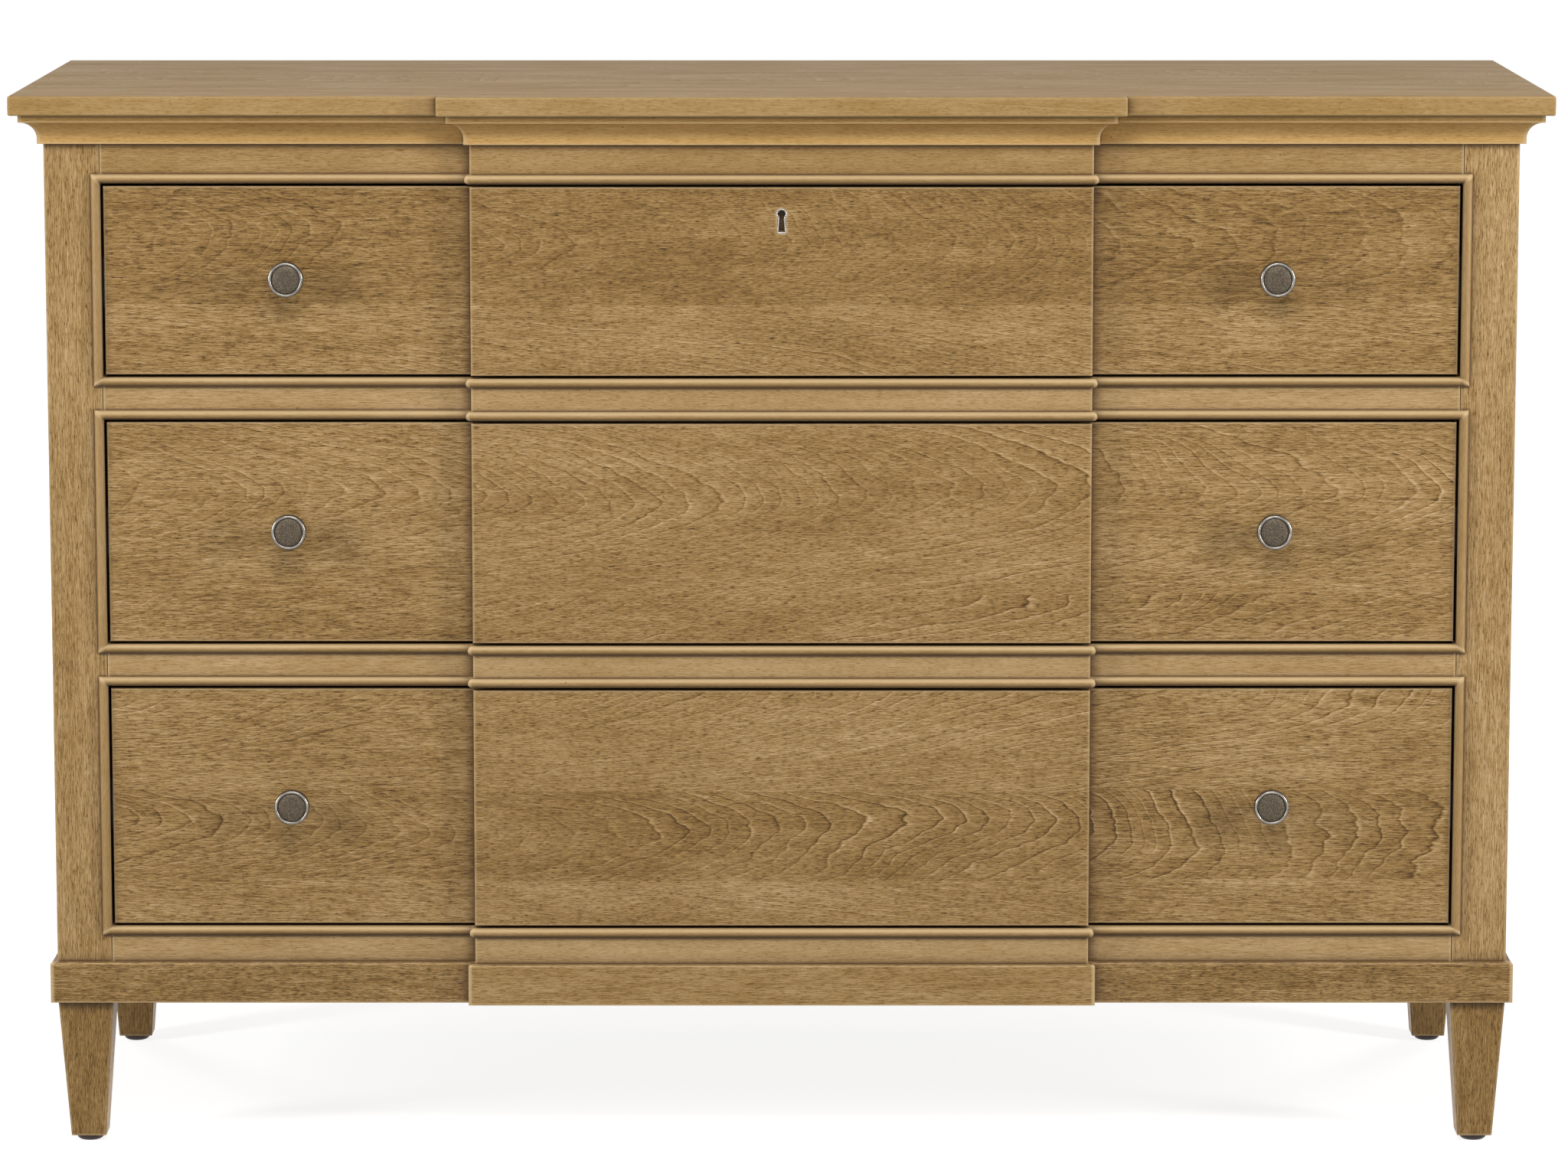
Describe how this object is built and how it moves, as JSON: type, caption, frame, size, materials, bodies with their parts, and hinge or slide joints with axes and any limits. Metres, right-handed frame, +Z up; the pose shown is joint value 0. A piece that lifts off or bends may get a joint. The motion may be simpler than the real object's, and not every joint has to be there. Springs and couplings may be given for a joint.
{
  "type": "dresser",
  "caption": "Wide wooden breakfront dresser with full-width drawers on telescopic slides, beaded openings, cove cornice, round knobs and square tapered legs.",
  "frame": {"origin": "on the floor, under the middle of the top board", "axes": "+X to the right along the width, +Y towards the back, +Z up; the drawers open towards -Y"},
  "size_m": [1.372, 0.502, 0.957],
  "materials": {
    "finished_wood": "brown glazed hardwood, satin lacquer",
    "inside_wood": "plain unfinished wood",
    "back_plywood": "stained plywood",
    "drawer_wood": "clear lacquered hardwood",
    "drawer_plywood": "clear lacquered plywood",
    "slide_steel": "zinc-plated rolled steel",
    "knob_pewter": "aged pewter with a rubbed bright rim",
    "screw_steel": "zinc-plated",
    "plate_metal": "polished pewter-coloured metal",
    "glide_plastic": "dark reddish-brown moulded plastic"
  },
  "bodies": {
    "case": {"top_panel": "finished_wood", "front_left_post": "finished_wood", "front_right_post": "finished_wood", "rear_left_post": "finished_wood", "rear_right_post": "finished_wood", "frieze_rail": "finished_wood", "upper_divider_rail": "finished_wood", "lower_divider_rail": "finished_wood", "bottom_rail": "finished_wood", "rail_centre_blocks": "finished_wood", "left_side_rails": "finished_wood", "right_side_rails": "finished_wood", "left_end_panel": "finished_wood", "right_end_panel": "finished_wood", "cornice_left": "finished_wood", "cornice_centre": "finished_wood", "cornice_right": "finished_wood", "base_left": "finished_wood", "base_centre": "finished_wood", "base_right": "finished_wood", "bottom_opening_bead": "finished_wood", "middle_opening_bead": "finished_wood", "top_opening_bead": "finished_wood", "rear_rails": "inside_wood", "slide_cleats": "inside_wood", "case_bottom": "inside_wood", "back_panel": "back_plywood", "case_slides": "slide_steel", "leg_glides": "glide_plastic"},
    "bottom_drawer": {"bottom_drawer_front": "finished_wood", "bottom_drawer_centre_panel": "finished_wood", "bottom_drawer_left_side": "drawer_wood", "bottom_drawer_right_side": "drawer_wood", "bottom_drawer_back": "drawer_wood", "bottom_drawer_bottom": "drawer_plywood", "bottom_drawer_knobs": "knob_pewter", "bottom_knob_screws": "screw_steel", "bottom_drawer_slides": "slide_steel"},
    "bottom_slide": {"bottom_slide_middles": "slide_steel"},
    "middle_drawer": {"middle_drawer_front": "finished_wood", "middle_drawer_centre_panel": "finished_wood", "middle_drawer_left_side": "drawer_wood", "middle_drawer_right_side": "drawer_wood", "middle_drawer_back": "drawer_wood", "middle_drawer_bottom": "drawer_plywood", "middle_drawer_knobs": "knob_pewter", "middle_knob_screws": "screw_steel", "middle_drawer_slides": "slide_steel"},
    "middle_slide": {"middle_slide_middles": "slide_steel"},
    "top_drawer": {"top_drawer_front": "finished_wood", "top_drawer_centre_panel": "finished_wood", "top_drawer_left_side": "drawer_wood", "top_drawer_right_side": "drawer_wood", "top_drawer_back": "drawer_wood", "top_drawer_bottom": "drawer_plywood", "top_drawer_knobs": "knob_pewter", "top_knob_screws": "screw_steel", "top_drawer_slides": "slide_steel", "keyhole_plate": "plate_metal"},
    "top_slide": {"top_slide_middles": "slide_steel"}
  },
  "joints": [
    {"name": "bottom_drawer_travel", "type": "slide", "parent": "case", "child": "bottom_drawer", "axis": [0, -1, 0], "range_m": [0, 0.38]},
    {"name": "bottom_slide_travel", "type": "slide", "parent": "case", "child": "bottom_slide", "axis": [0, -1, 0], "range_m": [0, 0.19]},
    {"name": "middle_drawer_travel", "type": "slide", "parent": "case", "child": "middle_drawer", "axis": [0, -1, 0], "range_m": [0, 0.38]},
    {"name": "middle_slide_travel", "type": "slide", "parent": "case", "child": "middle_slide", "axis": [0, -1, 0], "range_m": [0, 0.19]},
    {"name": "top_drawer_travel", "type": "slide", "parent": "case", "child": "top_drawer", "axis": [0, -1, 0], "range_m": [0, 0.38]},
    {"name": "top_slide_travel", "type": "slide", "parent": "case", "child": "top_slide", "axis": [0, -1, 0], "range_m": [0, 0.19]}
  ],
  "couplings": [
    {"joint": "bottom_slide_travel", "follows": "bottom_drawer_travel", "ratio": 0.5},
    {"joint": "middle_slide_travel", "follows": "middle_drawer_travel", "ratio": 0.5},
    {"joint": "top_slide_travel", "follows": "top_drawer_travel", "ratio": 0.5}
  ]
}
